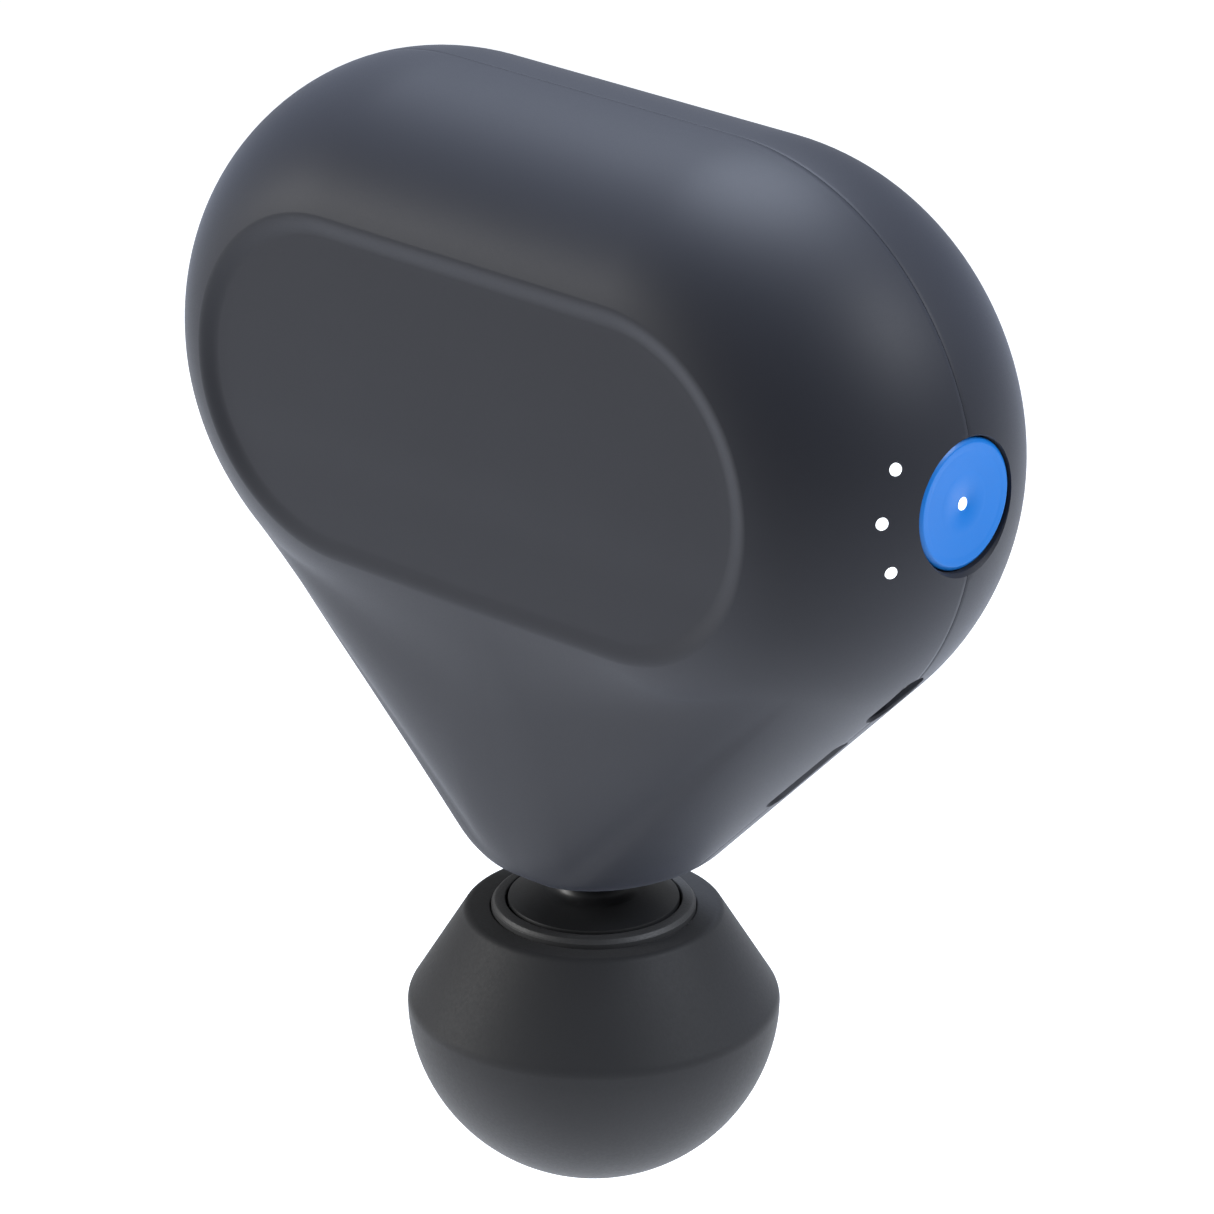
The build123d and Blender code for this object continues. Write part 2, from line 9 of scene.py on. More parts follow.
import bmesh
import bpy
import numpy as np
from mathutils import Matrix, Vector
from mathutils.bvhtree import BVHTree


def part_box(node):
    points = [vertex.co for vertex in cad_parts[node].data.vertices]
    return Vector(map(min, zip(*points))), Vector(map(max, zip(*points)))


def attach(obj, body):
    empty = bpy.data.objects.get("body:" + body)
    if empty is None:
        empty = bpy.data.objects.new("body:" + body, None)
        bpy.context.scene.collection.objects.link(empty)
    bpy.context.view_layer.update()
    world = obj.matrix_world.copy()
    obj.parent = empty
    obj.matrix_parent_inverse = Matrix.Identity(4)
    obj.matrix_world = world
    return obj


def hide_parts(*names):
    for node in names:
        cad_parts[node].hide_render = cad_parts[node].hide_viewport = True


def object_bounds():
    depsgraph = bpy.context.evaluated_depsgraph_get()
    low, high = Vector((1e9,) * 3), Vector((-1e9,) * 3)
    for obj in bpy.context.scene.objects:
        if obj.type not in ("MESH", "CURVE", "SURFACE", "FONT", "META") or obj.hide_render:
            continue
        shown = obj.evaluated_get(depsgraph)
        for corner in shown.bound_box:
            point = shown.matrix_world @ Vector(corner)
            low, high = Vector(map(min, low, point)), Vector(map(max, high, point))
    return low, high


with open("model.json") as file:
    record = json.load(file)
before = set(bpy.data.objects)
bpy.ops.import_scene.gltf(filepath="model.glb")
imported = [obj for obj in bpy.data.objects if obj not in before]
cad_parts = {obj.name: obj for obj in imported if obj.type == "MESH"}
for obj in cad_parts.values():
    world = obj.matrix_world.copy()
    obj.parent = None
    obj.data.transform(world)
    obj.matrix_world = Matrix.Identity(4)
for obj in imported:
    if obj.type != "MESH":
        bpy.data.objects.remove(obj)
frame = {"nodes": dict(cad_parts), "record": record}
cad_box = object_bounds()
nodes = frame["nodes"]
MM = 0.001

# Body outline on the seam plane: the hull of two corner circles and two nose circles
CORNER_X, CORNER_Z, CORNER_RADIUS = 20.65, 10.72, 33.35
CORNER_ROLL, CORNER_POWER, DOME_DEPTH = 17.0, 1.9, 21.1
# The nose is a neck with a flat end: oval in plan there, then fuller towards the panel.
# At each depth it has a lowest height and a radius
NOSE_BOTTOM = -44.07
NOSE_X, NOSE_END_DEPTH, NOSE_FRONT_X = 8.9, 14.0, 0.6
NOSE_STOPS = (0, 13.7, 14.8, 15.9, 17.1, 18.3, 19.7, 20.5)
NOSE_LOWS = (NOSE_BOTTOM, NOSE_BOTTOM, -42.2, -38.8, -32.2, -21.3, -13.6, -9.5)
NOSE_RADII = (10.0, 9.6, 9.8, 10.6, 12.5, 14.5, 15.0, 15.0)
# The face's share of the full depth by height: all of it at the panel, less towards the nose's end
TAPER_HEIGHTS = (-44.07, -32, -22, -14, -8, 0, 8, 16)
TAPER_SHARES = (0.8, 0.85, 0.902, 0.933, 0.958, 0.985, 0.998, 1.0)
WALL, CAVITY_SLACK = 2.2, 0.6
# The ridge round the panel, the ramp down from it, and where both fade out above the nose
RIDGE_DEPTH, RIDGE_CREST, CREST_RUN = 20.5, 0.1, 0.45
PANEL_DROP, RAMP_WIDTH, PANEL_MIDDLE = 0.65, 2.7, 0.0
RIDGE_FADE_LOW, RIDGE_FADE_HIGH = -15.0, 3.0
SEAM_HALF_WIDTH = 0.06
SEAM_DROP = 0.06


def box_middle(name):
    low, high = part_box(name)
    return (low + high) / 2


# --- mesh helpers -----------------------------------------------------------
def new_object(name, points, faces, body, replaced=(), slot=None):
    """A smooth-shaded mesh object in metres that rides on a CAD body."""
    mesh = bpy.data.meshes.new(name)
    mesh.from_pydata([tuple(p) for p in points], [], faces)
    mesh.validate()
    obj = bpy.data.objects.new(name, mesh)
    bpy.context.scene.collection.objects.link(obj)
    clean = bmesh.new()
    clean.from_mesh(mesh)
    bmesh.ops.recalc_face_normals(clean, faces=clean.faces)
    clean.to_mesh(mesh)
    clean.free()
    mesh.shade_smooth()
    if body:
        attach(obj, body)
    if replaced:
        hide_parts(*replaced)
    return obj


def apply_modifiers(obj):
    """Bake the object's modifiers into its mesh."""
    depsgraph = bpy.context.evaluated_depsgraph_get()
    baked = bpy.data.meshes.new_from_object(obj.evaluated_get(depsgraph))
    obj.modifiers.clear()
    obj.data = baked


def sharpen(obj, angle=math.radians(40)):
    """Keep edges sharper than an angle crisp, and the rest smooth."""
    obj.data.set_sharp_from_angle(angle=angle)


def lathe(name, profile, origin, axis, body, segments=160, **how):
    """Revolve (radius, height) points in millimetres about an axis through origin (metres)."""
    axis = Vector(axis).normalized()
    across = axis.orthogonal().normalized()
    third = axis.cross(across)
    points, faces, rings = [], [], []
    for radius, height in profile:
        base = Vector(origin) + axis * height * MM
        if radius < 1e-6:
            rings.append([len(points)])
            points.append(base)
            continue
        ring = []
        for k in range(segments):
            turn = 2 * math.pi * k / segments
            ring.append(len(points))
            points.append(base + (across * math.cos(turn) + third * math.sin(turn)) * radius * MM)
        rings.append(ring)
    for lower, upper in zip(rings, rings[1:]):
        for k in range(segments):
            after = (k + 1) % segments
            if len(lower) == 1:
                faces.append((lower[0], upper[after], upper[k]))
            elif len(upper) == 1:
                faces.append((lower[k], lower[after], upper[0]))
            else:
                faces.append((lower[k], lower[after], upper[after], upper[k]))
    obj = new_object(name, points, faces, body, **how)
    sharpen(obj)
    return obj


def arc(centre, radius, start, end, steps):
    """Points on an arc from start to end degrees, both included."""
    turns = np.radians(np.linspace(start, end, steps + 1))
    return [(centre[0] + radius * math.cos(t), centre[1] + radius * math.sin(t)) for t in turns]


def rounded(profile, rounds, steps=5):
    """Profile with some corners rounded: rounds maps a point's index to its radius."""
    out = []
    for i, point in enumerate(profile):
        if i not in rounds:
            out.append(point)
            continue
        here = Vector(point).to_2d()
        before = (Vector(profile[i - 1]).to_2d() - here).normalized()
        after = (Vector(profile[i + 1]).to_2d() - here).normalized()
        half = before.angle(after) / 2
        reach = rounds[i] / math.tan(half)
        centre = here + (before + after).normalized() * rounds[i] / math.sin(half)
        first = here + before * reach - centre
        sweep = first.angle_signed(here + after * reach - centre)
        for k in range(steps + 1):
            turn = -sweep * k / steps
            spoke = Vector((
                first.x * math.cos(turn) - first.y * math.sin(turn),
                first.x * math.sin(turn) + first.y * math.cos(turn),
            ))
            out.append(tuple(centre + spoke))
    return out


# --- the body's surface -----------------------------------------------------
def rolled(depth, full, roll, power):
    """How far in from the seam the rolled edge is at a depth."""
    share = min(depth / full, 1.0)
    return roll * (1 - (1 - share**power) ** (1 / power))


def run_through(x, stops, values):
    """A smooth curve through a table that never overshoots its values."""
    last = len(stops) - 1
    x = min(max(x, stops[0]), stops[last])
    k = max(i for i in range(last) if stops[i] <= x)
    steps = [(values[i + 1] - values[i]) / (stops[i + 1] - stops[i]) for i in range(last)]
    slopes = []
    for i in (k, k + 1):
        before, after = steps[max(i - 1, 0)], steps[min(i, last - 1)]
        slopes.append(2 * before * after / (before + after) if before * after > 0 else 0.0)
    width = stops[k + 1] - stops[k]
    t = (x - stops[k]) / width
    value = (2 * t**3 - 3 * t**2 + 1) * values[k] + (3 * t**2 - 2 * t**3) * values[k + 1]
    return value + (t**3 - 2 * t**2 + t) * width * slopes[0] + (t**3 - t**2) * width * slopes[1]


def circles(depth, skin=0.0):
    """Corner radius, nose radius and nose centre (x, z) of the outline at an untapered depth."""
    corner = CORNER_RADIUS - skin - rolled(depth, DOME_DEPTH - skin, CORNER_ROLL - skin, CORNER_POWER)
    nose = run_through(depth + skin, NOSE_STOPS, NOSE_RADII) - skin
    low = run_through(depth + skin, NOSE_STOPS, NOSE_LOWS) + skin
    share = min((depth + skin) / NOSE_END_DEPTH, 1.0)
    half_width = NOSE_FRONT_X + (NOSE_X - NOSE_FRONT_X) * math.sqrt(1 - share**2)
    return corner, nose, half_width, low + nose


def taper(z):
    """How much of the full depth the body keeps at a height."""
    return run_through(z, TAPER_HEIGHTS, TAPER_SHARES)


def outline(corner, nose, nose_x, nose_z):
    """Points (x, z) all round the hull of the corner and nose circles, always as many."""
    run = Vector((CORNER_X - nose_x, CORNER_Z - nose_z))
    side = math.degrees(math.atan2(run.y, run.x)) - math.degrees(math.acos((nose - corner) / run.length))
    top = [(x, CORNER_Z + corner) for x in np.linspace(0, CORNER_X, 12)[:-1]]
    tip = arc((CORNER_X, CORNER_Z), corner, 90, side, 56)
    low = arc((nose_x, nose_z), nose, side, -90, 22)
    flank = [tuple(Vector(tip[-1]).lerp(Vector(low[0]), k / 20)) for k in range(1, 20)]
    bottom = [(x, nose_z - nose) for x in np.linspace(nose_x, 0, 5)[1:]]
    half = top + tip + flank + low + bottom
    return half + [(-x, z) for x, z in half[-2:0:-1]]


def ridge_share(z):
    """How much of the ridge and the panel's drop is left at a height: none near the nose."""
    share = min(max((z - RIDGE_FADE_LOW) / (RIDGE_FADE_HIGH - RIDGE_FADE_LOW), 0.0), 1.0)
    return share * share * (3 - 2 * share)


def floor_depth_at(z):
    """Depth of the panel at a height."""
    return (RIDGE_DEPTH + RIDGE_CREST - PANEL_DROP * ridge_share(z)) * taper(z)


def outer_rings():
    """Rings of (x, depth, z) from the seam, over the edge, the ridge and the ramp, onto the panel."""
    rings = []
    for depth, drop in ((0.0, SEAM_DROP), (0.4 * SEAM_HALF_WIDTH, 0.4 * SEAM_DROP), (SEAM_HALF_WIDTH, 0.0)):
        corner, nose, nose_x, nose_z = circles(depth)
        rings.append([(x, depth, z) for x, z in outline(corner - drop, nose - drop, nose_x, nose_z)])
    for share in np.linspace(0, 1, 64)[1:]:
        depth = SEAM_HALF_WIDTH + (RIDGE_DEPTH - SEAM_HALF_WIDTH) * math.sin(share * math.pi / 2)
        rings.append([(x, depth * taper(z), z) for x, z in outline(*circles(depth))])
    corner, nose, nose_x, nose_z = circles(RIDGE_DEPTH)
    for step in np.linspace(0, 1, 15)[1:]:
        inset = RAMP_WIDTH * step
        fall = step * step * (3 - 2 * step)
        crest = RIDGE_DEPTH + RIDGE_CREST * (1 - math.exp(-inset / CREST_RUN))
        foot = RIDGE_DEPTH + RIDGE_CREST - PANEL_DROP
        rings.append([
            (x, (crest + (foot - crest) * fall * ridge_share(z)) * taper(z), z)
            for x, z in outline(corner - inset, nose - inset, nose_x, nose_z)
        ])
    rim = rings[-1]
    for share in np.linspace(1, 0, 26)[1:-1]:
        spots = [(x * share, PANEL_MIDDLE + (z - PANEL_MIDDLE) * share) for x, _, z in rim]
        rings.append([(x, floor_depth_at(z), z) for x, z in spots])
    return rings


def inner_rings():
    """Rings of the cavity's wall, from the seam to the back of the panel."""
    reach = DOME_DEPTH - WALL - CAVITY_SLACK
    depths = [reach * math.sin(share * math.pi / 2) for share in np.linspace(0, 1, 14)]
    return [[(x, d * taper(z), z) for x, z in outline(*circles(d, WALL))] for d in depths]


def half_shell(name, side):
    """One closed half of the housing; side is -1 for the front and 1 for the rear."""
    rings = list(reversed(inner_rings())) + outer_rings()
    count = len(rings[0])
    points = [(x * MM, side * d * MM, z * MM) for ring in rings for x, d, z in ring]
    faces = [tuple(range(count))]
    for r in range(len(rings) - 1):
        for k in range(count):
            after = (k + 1) % count
            a, b = r * count, (r + 1) * count
            faces.append((a + k, a + after, b + after, b + k))
    faces.append(tuple(range((len(rings) - 1) * count, len(rings) * count)))
    return new_object(name, points, faces, "housing", replaced=(name,), slot="shell_silicone")


def cutter(name, obj_points, faces):
    """A plain closed tool mesh used only to cut, removed afterwards."""
    mesh = bpy.data.meshes.new(name)
    mesh.from_pydata([tuple(p) for p in obj_points], [], faces)
    obj = bpy.data.objects.new(name, mesh)
    bpy.context.scene.collection.objects.link(obj)
    clean = bmesh.new()
    clean.from_mesh(mesh)
    bmesh.ops.recalc_face_normals(clean, faces=clean.faces)
    clean.to_mesh(mesh)
    clean.free()
    return obj


def swept_cutter(name, origin, across, up, out, stations):
    """A cutter with a rounded-slot section; stations along out are (height, length, width) in mm."""
    points, faces, count = [], [], 64
    for height, length, width in stations:
        base = Vector(origin) + Vector(out) * height * MM
        straight = max(length - width, 0.0) / 2
        for k in range(count):
            turn = 2 * math.pi * (k + 0.5) / count
            u = width / 2 * math.cos(turn) + math.copysign(straight, math.cos(turn))
            v = width / 2 * math.sin(turn)
            points.append(base + (Vector(across) * u + Vector(up) * v) * MM)
    for s in range(len(stations) - 1):
        for k in range(count):
            after = (k + 1) % count
            a, b = s * count, (s + 1) * count
            faces.append((a + k, a + after, b + after, b + k))
    faces.append(tuple(range(count)))
    faces.append(tuple(range((len(stations) - 1) * count, len(stations) * count)))
    return cutter(name, points, faces)


def mouth(length, width, bottom, edge, lip_at, lip, top):
    """Stations of an opening: straight up to its edge, a small lip, then opening at 45 degrees."""
    wide = lip + 2 * (top - lip_at)
    return [(bottom, length, width), (edge, length, width), (lip_at, length + lip, width + lip),
            (top, length + wide, width + wide)]


def cut(obj, tools):
    """Subtract the tools from an object and give back the smooth normals of its uncut surface."""
    smooth = obj.data.copy()
    smooth_tree = BVHTree.FromPolygons(
        [v.co for v in smooth.vertices], [p.vertices for p in smooth.polygons])
    smooth_normals = [v.normal.copy() for v in smooth.vertices]
    for tool in tools:
        carve = obj.modifiers.new("carve", "BOOLEAN")
        carve.object = tool
        carve.solver = "EXACT"
    apply_modifiers(obj)
    mesh = obj.data
    sharpen(obj, math.radians(32))
    normals = [Vector(n.vector) for n in mesh.corner_normals]
    for polygon in mesh.polygons:
        for loop_index in polygon.loop_indices:
            point = mesh.vertices[mesh.loops[loop_index].vertex_index].co
            hit, _, face, distance = smooth_tree.find_nearest(point)
            if face is None or distance > 2e-6:
                continue
            corners = smooth.polygons[face].vertices
            if len(corners) > 4:
                continue
            weights = [1 / ((smooth.vertices[c].co - hit).length + 1e-7) for c in corners]
            blended = sum((smooth_normals[c] * w for c, w in zip(corners, weights)), Vector())
            blended.normalize()
            if blended.dot(polygon.normal) > 0.9:
                normals[loop_index] = blended
    mesh.normals_split_custom_set(normals)
    bpy.data.meshes.remove(smooth)


# --- materials --------------------------------------------------------------
def new_material(name):
    """An empty node material with its shader, and the object coordinates that its textures read."""
    material = bpy.data.materials.new(name)
    material.use_nodes = True
    tree = material.node_tree
    shader = tree.nodes["Principled BSDF"]
    place = tree.nodes.new("ShaderNodeTexCoord").outputs["Object"]
    return material, tree, shader, place


def noise(tree, place, scale, detail=2.0, rough=0.5, stretch=None):
    """A noise texture of about 1/scale metres, optionally stretched along the axes."""
    if stretch:
        mapping = tree.nodes.new("ShaderNodeMapping")
        mapping.inputs["Scale"].default_value = stretch
        tree.links.new(place, mapping.inputs["Vector"])
        place = mapping.outputs["Vector"]
    node = tree.nodes.new("ShaderNodeTexNoise")
    node.inputs["Scale"].default_value = scale
    node.inputs["Detail"].default_value = detail
    node.inputs["Roughness"].default_value = rough
    tree.links.new(place, node.inputs["Vector"])
    return node.outputs["Fac"]


def spread(tree, value, low, high):
    """Map a texture's middle range to low..high."""
    node = tree.nodes.new("ShaderNodeMapRange")
    node.inputs["From Min"].default_value = 0.3
    node.inputs["From Max"].default_value = 0.7
    node.inputs["To Min"].default_value = low
    node.inputs["To Max"].default_value = high
    tree.links.new(value, node.inputs["Value"])
    return node.outputs["Result"]


def tinted(tree, value, dark, light):
    """A colour between dark and light, led by a texture."""
    ramp = tree.nodes.new("ShaderNodeValToRGB")
    ramp.color_ramp.elements[0].position = 0.3
    ramp.color_ramp.elements[0].color = (*dark, 1)
    ramp.color_ramp.elements[1].position = 0.7
    ramp.color_ramp.elements[1].color = (*light, 1)
    tree.links.new(value, ramp.inputs["Fac"])
    return ramp.outputs["Color"]


def bumped(tree, shader, height, strength, distance):
    """Bump from a height texture; distance in metres."""
    bump = tree.nodes.new("ShaderNodeBump")
    bump.inputs["Strength"].default_value = strength
    bump.inputs["Distance"].default_value = distance
    tree.links.new(height, bump.inputs["Height"])
    tree.links.new(bump.outputs["Normal"], shader.inputs["Normal"])


def shade(factor, colour):
    return tuple(min(1.0, c * factor) for c in colour)


def moulded(name, colour, roughness, grain=6000, vary=0.06, bump=0.25, depth=0.00002, specular=0.5,
            sheen=0.0, sheen_tint=(1, 1, 1), coat=0.0):
    """Moulded plastic, silicone or rubber: fine grain, faint blotches, uneven gloss."""
    material, tree, shader, place = new_material(name)
    blotch = noise(tree, place, 70, 3)
    fine = noise(tree, place, grain, 3, 0.6)
    colours = tinted(tree, blotch, shade(1 - vary, colour), shade(1 + vary, colour))
    tree.links.new(colours, shader.inputs["Base Color"])
    tree.links.new(spread(tree, fine, roughness - 0.04, roughness + 0.04), shader.inputs["Roughness"])
    bumped(tree, shader, fine, bump, depth)
    shader.inputs["Specular IOR Level"].default_value = specular
    shader.inputs["Sheen Weight"].default_value = sheen
    shader.inputs["Sheen Roughness"].default_value = 0.45
    shader.inputs["Sheen Tint"].default_value = (*sheen_tint, 1)
    shader.inputs["Coat Weight"].default_value = coat
    shader.inputs["Coat Roughness"].default_value = 0.15
    return material


def metal(name, colour, roughness, stretch=(1, 1, 1), scale=900, bump=0.15):
    """Metal with fine machining marks, drawn out along one axis where stretch says so."""
    material, tree, shader, place = new_material(name)
    marks = noise(tree, place, scale, 4, 0.6, stretch)
    cloud = noise(tree, place, 120, 2)
    colours = tinted(tree, cloud, shade(0.93, colour), shade(1.05, colour))
    tree.links.new(colours, shader.inputs["Base Color"])
    gloss = spread(tree, marks, max(roughness - 0.05, 0.02), roughness + 0.06)
    tree.links.new(gloss, shader.inputs["Roughness"])
    bumped(tree, shader, marks, bump, 0.000006)
    shader.inputs["Metallic"].default_value = 1.0
    return material


def glowing(name, colour, strength):
    """A small lit lens: a milky window with light behind it."""
    material, tree, shader, place = new_material(name)
    cloud = noise(tree, place, 1500, 2)
    tree.links.new(tinted(tree, cloud, shade(0.96, colour), colour), shader.inputs["Base Color"])
    tree.links.new(tinted(tree, cloud, shade(0.97, colour), colour), shader.inputs["Emission Color"])
    tree.links.new(spread(tree, cloud, 0.25, 0.35), shader.inputs["Roughness"])
    shader.inputs["Emission Strength"].default_value = strength
    return material


SHELL_COLOUR = (0.0145, 0.0155, 0.0205)
MATERIALS = {
    "shell_silicone": moulded("soft_touch_shell", SHELL_COLOUR, 0.52, grain=7000, vary=0.03, bump=0.12,
                              depth=0.00001, specular=0.2, sheen=0.1, sheen_tint=(0.72, 0.8, 1.0)),
    "foam": moulded("closed_cell_foam", (0.02, 0.0205, 0.0225), 0.6, grain=2600, vary=0.05, bump=0.3,
                    depth=0.00003, specular=0.22, sheen=0.05),
    "insert_plastic": moulded("insert_matte", (0.012, 0.0125, 0.0135), 0.42, grain=5000, bump=0.2),
    "ring_plastic": moulded("ring_sparked", (0.03, 0.0305, 0.032), 0.55, grain=3200, bump=0.8,
                            depth=0.00005),
    "button_blue": moulded("button_blue", (0.004, 0.145, 0.5), 0.38, grain=5200, vary=0.03, bump=0.08,
                           specular=0.25, coat=0.05),
    "lens_white": glowing("lens_lit", (0.92, 0.96, 1.0), 1.6),
    "steel_polished": metal("steel_polished", (0.72, 0.73, 0.75), 0.13, stretch=(1, 1, 0.05)),
    "steel_plain": metal("steel_zinc", (0.55, 0.56, 0.58), 0.34),
    "black_plastic": moulded("plastic_black", (0.018, 0.018, 0.019), 0.45),
    "frame_aluminium": metal("aluminium_cast", (0.58, 0.59, 0.6), 0.42, scale=500, bump=0.4),
    "bush_bronze": metal("bronze_sintered", (0.55, 0.36, 0.18), 0.4, scale=1500, bump=0.4),
    "copper_wire": metal("copper_enamel", (0.6, 0.22, 0.08), 0.28, stretch=(1, 9, 1), scale=500, bump=0.8),
    "magnet": metal("magnet_nickel", (0.42, 0.42, 0.44), 0.25),
    "seal_rubber": moulded("rubber_black", (0.016, 0.016, 0.017), 0.62, grain=4000, bump=0.3),
    "cell_wrap": moulded("cell_wrap", (0.03, 0.2, 0.15), 0.3, grain=900, bump=0.1),
    "board_green": moulded("board_mask", (0.01, 0.12, 0.045), 0.3, grain=1500, bump=0.15),
    "lead_red": moulded("lead_cover", (0.32, 0.02, 0.02), 0.38, grain=2500),
    "port_steel": metal("port_stamped", (0.5, 0.5, 0.52), 0.26),
}


def finish_with(obj, slot):
    """Give an object the material of a record slot."""
    obj.data.materials.clear()
    obj.data.materials.append(MATERIALS[slot])


for subpart in frame["record"]["subparts"]:
    finish_with(nodes[subpart["node"]], subpart["material_slot"])


# --- button, lights, ports --------------------------------------------------
button_middle = box_middle("button_cap")
BUTTON_Z = button_middle.z / MM
BUTTON_RADIUS, BUTTON_FACE, BUTTON_HOLE = 7.15, 52.7, 14.74
STEM_RADIUS, STEM_BOTTOM = 2.2, 47.2
FLANGE_RADIUS, FLANGE_BOTTOM, FLANGE_TOP = 8.4, 48.6, 49.6
DOT_RADIUS, DOT_WELL, DOT_DEPTH = 0.7, 0.72, 2
LIGHT_RING, LIGHT_ANGLES, LIGHT_RADIUS, LIGHT_HOLE = 11.2, (-27, 3, 33), 0.68, 1.44
SIDE_ANGLE = math.radians(-45.95)
side_out = Vector((math.cos(SIDE_ANGLE), 0, math.sin(SIDE_ANGLE)))
side_along = Vector((-side_out.z, 0, side_out.x))
seam_side = Vector((0, 1, 0))
PORT_PLACE, PORT_LENGTH, PORT_WIDTH = Vector((43.9, 0, -13.2)) * MM, 9.1, 3.3
VENT_PLACE, VENT_LENGTH, VENT_WIDTH = Vector((31.5, 0, -25.2)) * MM, 14.0, 1.8
NOSE_HOLE = 10
POST_PLACES, COVER_HOLE, COVER_RADIUS = ((-22, 25.5), (22, 25.5), (-20, -6), (20, -6)), 4.9, 2.36


def corner_point(y, z):
    """Point on the outer surface at the right corner, for y and z in millimetres."""
    corner = circles(abs(y) / taper(z))[0]
    return Vector((CORNER_X + math.sqrt(corner**2 - (z - CORNER_Z) ** 2), y, z))


def corner_normal(y, z, step=0.3):
    """Outward normal of the outer surface at the right corner."""
    along_y = corner_point(y + step, z) - corner_point(y - step, z)
    along_z = corner_point(y, z + step) - corner_point(y, z - step)
    return along_y.cross(along_z).normalized()


def light_places():
    for angle in LIGHT_ANGLES:
        turn = math.radians(angle)
        y, z = -LIGHT_RING * math.cos(turn), BUTTON_Z + LIGHT_RING * math.sin(turn)
        yield corner_point(y, z), corner_normal(y, z)


front = half_shell("front_shell", -1)
rear = half_shell("rear_shell", 1)
button_hole = swept_cutter(
    "cut_button", (0, 0, BUTTON_Z * MM), (0, 1, 0), (0, 0, 1), (1, 0, 0),
    mouth(BUTTON_HOLE, BUTTON_HOLE, 44, BUTTON_FACE + 0.05, BUTTON_FACE + 0.3, 0.36, 56),
)
port_hole = swept_cutter(
    "cut_port", PORT_PLACE, side_along, seam_side, side_out,
    mouth(PORT_LENGTH, PORT_WIDTH, -9, -0.28, 0, 0.4, 2),
)
vent_hole = swept_cutter(
    "cut_vent", VENT_PLACE, side_along, seam_side, side_out,
    mouth(VENT_LENGTH, VENT_WIDTH, -9, -0.25, 0, 0.4, 2),
)
nose_hole = swept_cutter(
    "cut_nose", (0, 0, NOSE_BOTTOM * MM), (1, 0, 0), (0, 1, 0), (0, 0, -1),
    mouth(NOSE_HOLE, NOSE_HOLE, -6, -0.3, 0.1, 0.6, 2),
)
light_holes = []
for spot, normal in light_places():
    across = normal.orthogonal().normalized()
    light_holes.append(swept_cutter(
        "cut_light", spot * MM, across, normal.cross(across), normal,
        mouth(LIGHT_HOLE, LIGHT_HOLE, -4, -0.06, 0.3, 0.46, 1),
    ))
cover_holes = [
    swept_cutter(
        "cut_cover", (x * MM, 0, z * MM), (1, 0, 0), (0, 0, 1), (0, 1, 0),
        [(16, COVER_HOLE, COVER_HOLE), (floor_depth_at(z) - 0.05, COVER_HOLE, COVER_HOLE),
         (floor_depth_at(z) + 0.5, COVER_HOLE + 1, COVER_HOLE + 1)],
    )
    for x, z in POST_PLACES
]
both = [button_hole, port_hole, vent_hole, nose_hole]
cut(front, both + light_holes)
cut(rear, both + cover_holes)
for tool in both + light_holes + cover_holes:
    bpy.data.objects.remove(tool)
for shell in (front, rear):
    finish_with(shell, "shell_silicone")

# The power button: a dished blue cap with a soft rim and a lit dot in the middle
cap_profile = rounded(
    [(0, STEM_BOTTOM), (STEM_RADIUS, STEM_BOTTOM), (STEM_RADIUS, FLANGE_BOTTOM),
     (FLANGE_RADIUS, FLANGE_BOTTOM), (FLANGE_RADIUS, FLANGE_TOP), (BUTTON_RADIUS, FLANGE_TOP),
     (BUTTON_RADIUS, BUTTON_FACE - 0.35), (BUTTON_RADIUS - 0.5, BUTTON_FACE), (5.8, BUTTON_FACE - 0.1),
     (3.5, BUTTON_FACE - 0.22), (0.85, BUTTON_FACE - 0.26), (DOT_WELL, BUTTON_FACE - 0.36),
     (DOT_WELL, BUTTON_FACE - DOT_DEPTH), (0, BUTTON_FACE - DOT_DEPTH)],
    {6: 0.25, 7: 0.3, 8: 3.0, 9: 5.0},
)
button = lathe("button_cap", cap_profile, (0, 0, BUTTON_Z * MM), (1, 0, 0), "power_button",
               replaced=("button_cap",), slot="button_blue")
finish_with(button, "button_blue")
dot_profile = rounded(
    [(0, BUTTON_FACE - DOT_DEPTH), (DOT_RADIUS, BUTTON_FACE - DOT_DEPTH),
     (DOT_RADIUS, BUTTON_FACE - 0.34), (0, BUTTON_FACE - 0.28)],
    {2: 0.1})
dot = lathe("button_light", dot_profile, (0, 0, BUTTON_Z * MM), (1, 0, 0), "power_button", 48,
            replaced=("button_light",), slot="lens_white")
finish_with(dot, "lens_white")

lens_profile = rounded([(0, -3), (LIGHT_RADIUS, -3), (LIGHT_RADIUS, -0.02), (0, 0.07)], {2: 0.12})
lenses = [
    lathe(f"light_lens_{i}", lens_profile, spot * MM, normal, None, 40)
    for i, (spot, normal) in enumerate(light_places(), 1)
]
for lens in lenses:
    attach(lens, "housing")
    finish_with(lens, "lens_white")
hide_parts("light_pipes")

for i, (x, z) in enumerate(POST_PLACES, 1):
    top = floor_depth_at(z)
    profile = rounded(
        [(0, top - 1.5), (COVER_RADIUS, top - 1.5), (COVER_RADIUS, top - 0.01), (0, top - 0.01)],
        {2: 0.15})
    cover = lathe(f"screw_cover_{i}", profile, (x * MM, 0, z * MM), (0, 1, 0), "housing", 64,
                  slot="shell_silicone")
    finish_with(cover, "shell_silicone")
    if i == 1:
        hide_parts("screw_covers")

